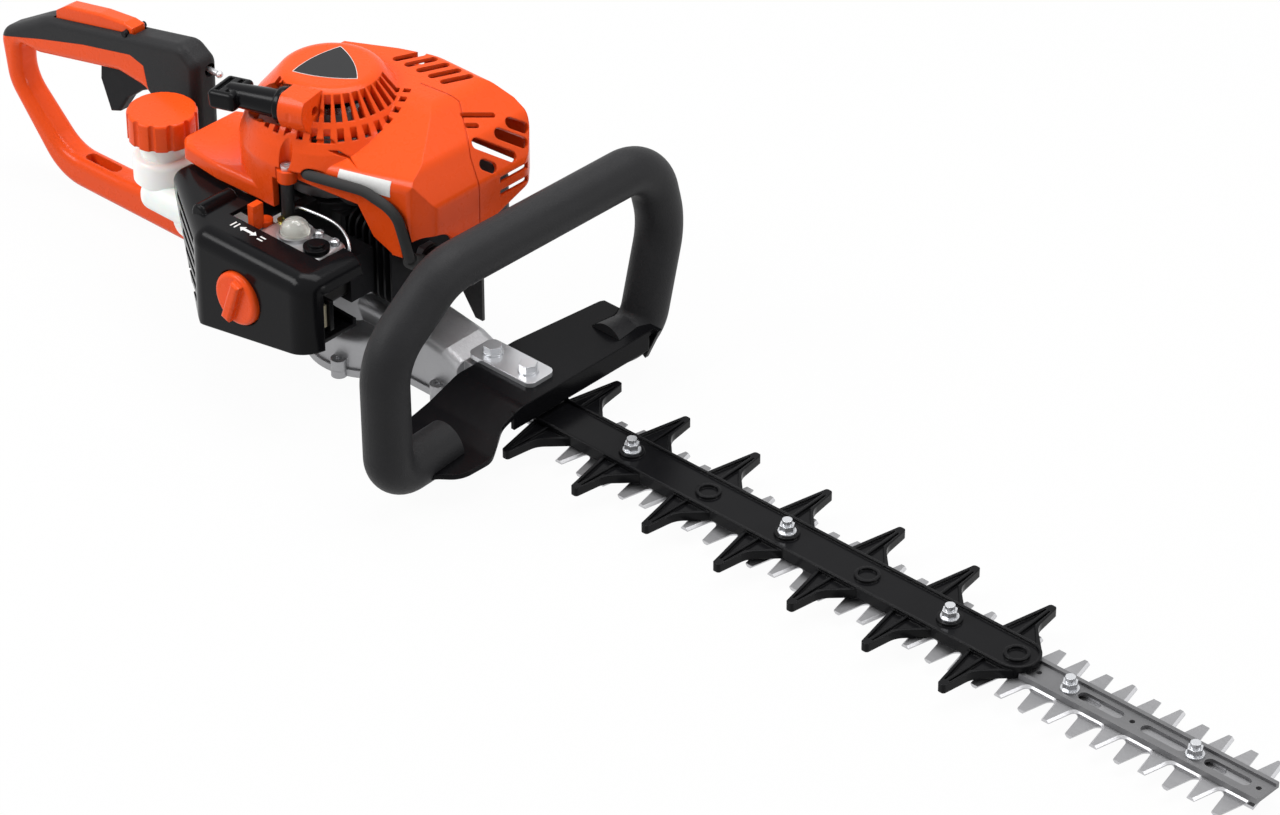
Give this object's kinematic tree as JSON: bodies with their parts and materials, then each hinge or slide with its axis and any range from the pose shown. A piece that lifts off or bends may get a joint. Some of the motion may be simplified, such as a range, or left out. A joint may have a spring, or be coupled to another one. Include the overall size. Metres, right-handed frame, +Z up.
{
  "type": "hedge_trimmer",
  "caption": "Petrol hedge trimmer with double-sided reciprocating blades, comb guard, looped front handle and D-shaped rear handle",
  "frame": {"origin": "On the crankshaft axis, in the flat underside of the gear case cover.", "axes": "+X along the blades to the tip, +Y to the operator's left, +Z up away from the underside."},
  "size_m": [0.9955, 0.2588, 0.18],
  "materials": {
    "orange_plastic": "gloss moulded",
    "black_plastic": "gloss moulded",
    "grip_black": "matte fine grain",
    "matte_black": "matte moulded",
    "cast_aluminium": "as cast",
    "machined_aluminium": "machined",
    "blade_steel": "ground",
    "steel": "turned",
    "zinc_steel": "zinc plated",
    "tank_plastic": "translucent white",
    "clear_plastic": "translucent",
    "felt": "felt pad",
    "black_rubber": "moulded",
    "rope": "braided",
    "muffler_steel": "heat-resistant paint"
  },
  "bodies": {
    "machine": {"gear_case": "cast_aluminium", "gear_case_cover": "cast_aluminium", "gear_cover_screws": "zinc_steel", "cam_bearings": "steel", "drum_bearing": "steel", "crankcase_lower": "cast_aluminium", "crankcase_upper": "cast_aluminium", "crank_bearings": "steel", "cylinder": "matte_black", "intake_insulator": "matte_black", "spark_plug": "zinc_steel", "plug_cap": "black_rubber", "ignition_lead": "black_rubber", "ignition_coil": "steel", "muffler": "muffler_steel", "muffler_guard": "muffler_steel", "engine_cover": "orange_plastic", "engine_cover_screws": "zinc_steel", "recoil_spring": "steel", "fuel_tank": "tank_plastic", "carburettor": "machined_aluminium", "air_cleaner_case": "black_plastic", "air_filter": "felt", "air_cleaner_cover": "black_plastic", "rear_handle": "orange_plastic", "grip_cover": "grip_black", "lever_pins": "steel", "stop_switch": "matte_black", "front_handle": "grip_black", "hand_shield": "black_plastic", "handle_bracket": "zinc_steel", "handle_bolts": "zinc_steel", "guide_bar": "blade_steel", "blade_guard": "black_plastic", "guard_bolts": "zinc_steel", "bar_bolts": "zinc_steel"},
    "crank_set": {"crankshaft": "steel", "flywheel": "cast_aluminium", "clutch_shoes": "steel", "clutch_spring": "steel"},
    "piston_set": {"piston": "machined_aluminium", "piston_pin": "steel"},
    "rod_set": {"connecting_rod": "steel", "crank_pin": "steel"},
    "drum": {"clutch_drum": "steel"},
    "cam": {"cam_gear": "steel"},
    "upper_blade_body": {"upper_blade": "blade_steel"},
    "lower_blade_body": {"lower_blade": "blade_steel"},
    "pulley": {"starter_pulley": "black_plastic", "starter_rope": "rope"},
    "grip": {"starter_grip": "black_plastic"},
    "trigger": {"throttle_trigger": "matte_black"},
    "lockout": {"trigger_lockout": "orange_plastic"},
    "toggle": {"stop_toggle": "zinc_steel"},
    "choke": {"choke_lever": "orange_plastic"},
    "throttle": {"throttle_lever": "black_plastic"},
    "primer": {"primer_bulb": "clear_plastic"},
    "knob": {"cover_knob": "orange_plastic"},
    "cap_lift": {"cap_gasket": "black_rubber"},
    "cap": {"fuel_cap": "orange_plastic"}
  },
  "joints": [
    {"name": "crank_turn", "type": "hinge", "parent": "machine", "child": "crank_set", "pos_m": [0, 0, 0.0798], "axis": [0, 0, 1], "continuous": true},
    {"name": "piston_slide", "type": "slide", "parent": "machine", "child": "piston_set", "axis": [1, 0, 0], "range_m": [-0.026, 0]},
    {"name": "rod_swing", "type": "hinge", "parent": "piston_set", "child": "rod_set", "pos_m": [0.057, 0, 0.0798], "axis": [0, 0, 1], "range_deg": [-17.2, 17.2]},
    {"name": "cam_gear_turn", "type": "hinge", "parent": "machine", "child": "cam", "pos_m": [0.03, 0, 0.015], "axis": [0, 0, 1], "range_deg": [0, 138]},
    {"name": "clutch_drum_turn", "type": "hinge", "parent": "machine", "child": "drum", "pos_m": [0, 0, 0.04], "axis": [0, 0, 1], "range_deg": [-552, 0]},
    {"name": "upper_blade_slide", "type": "slide", "parent": "machine", "child": "upper_blade_body", "axis": [1, 0, 0], "range_m": [-0.0165, 0]},
    {"name": "lower_blade_slide", "type": "slide", "parent": "machine", "child": "lower_blade_body", "axis": [1, 0, 0], "range_m": [0, 0.0165]},
    {"name": "starter_pull", "type": "slide", "parent": "machine", "child": "grip", "axis": [-0.9754, -0.1931, -0.106], "range_m": [0, 0.6], "stiffness_N_per_m": 10},
    {"name": "starter_pulley_turn", "type": "hinge", "parent": "machine", "child": "pulley", "pos_m": [0, 0, 0.1685], "axis": [0, 0, 1], "range_deg": [0, 1528.9]},
    {"name": "throttle_trigger_swing", "type": "hinge", "parent": "machine", "child": "trigger", "pos_m": [-0.164, 0, 0.11], "axis": [0, 1, 0], "range_deg": [0, 14], "stiffness_Nm_per_rad": 0.4},
    {"name": "throttle_lever_turn", "type": "hinge", "parent": "machine", "child": "throttle", "pos_m": [0.052, -0.066, 0.104], "axis": [0, 0, 1], "range_deg": [0, 70]},
    {"name": "trigger_lockout_press", "type": "hinge", "parent": "machine", "child": "lockout", "pos_m": [-0.175, 0, 0.1365], "axis": [0, -1, 0], "range_deg": [0, 7], "stiffness_Nm_per_rad": 0.6},
    {"name": "stop_toggle_flip", "type": "hinge", "parent": "machine", "child": "toggle", "pos_m": [-0.118, 0.003, 0.132], "axis": [0, 1, 0], "range_deg": [-15, 15]},
    {"name": "choke_lever_turn", "type": "hinge", "parent": "machine", "child": "choke", "pos_m": [0.004, -0.062, 0.1], "axis": [0, 0, 1], "range_deg": [-60, 0]},
    {"name": "primer_press", "type": "slide", "parent": "machine", "child": "primer", "axis": [0, 0, -1], "range_m": [0, 0.005], "stiffness_N_per_m": 800},
    {"name": "cover_knob_turn", "type": "hinge", "parent": "machine", "child": "knob", "pos_m": [0.021, -0.1, 0.074], "axis": [0, -1, 0], "continuous": true},
    {"name": "cap_lift_slide", "type": "slide", "parent": "machine", "child": "cap_lift", "axis": [0, 0, 1], "range_m": [0, 0.006]},
    {"name": "fuel_cap_turn", "type": "hinge", "parent": "cap_lift", "child": "cap", "pos_m": [-0.111, -0.037, 0.112], "axis": [0, 0, 1], "range_deg": [0, 721]}
  ],
  "couplings": [
    {"joint": "clutch_drum_turn", "follows": "cam_gear_turn", "ratio": -4},
    {"joint": "upper_blade_slide", "follows": "cam_gear_turn", "m_per_rad": -0.0068506},
    {"joint": "lower_blade_slide", "follows": "cam_gear_turn", "m_per_rad": 0.0068506},
    {"joint": "starter_pulley_turn", "follows": "starter_pull", "rad_per_m": 44.444},
    {"joint": "throttle_lever_turn", "follows": "throttle_trigger_swing", "ratio": 5},
    {"joint": "fuel_cap_turn", "follows": "cap_lift_slide", "rad_per_m": 2094.4}
  ]
}
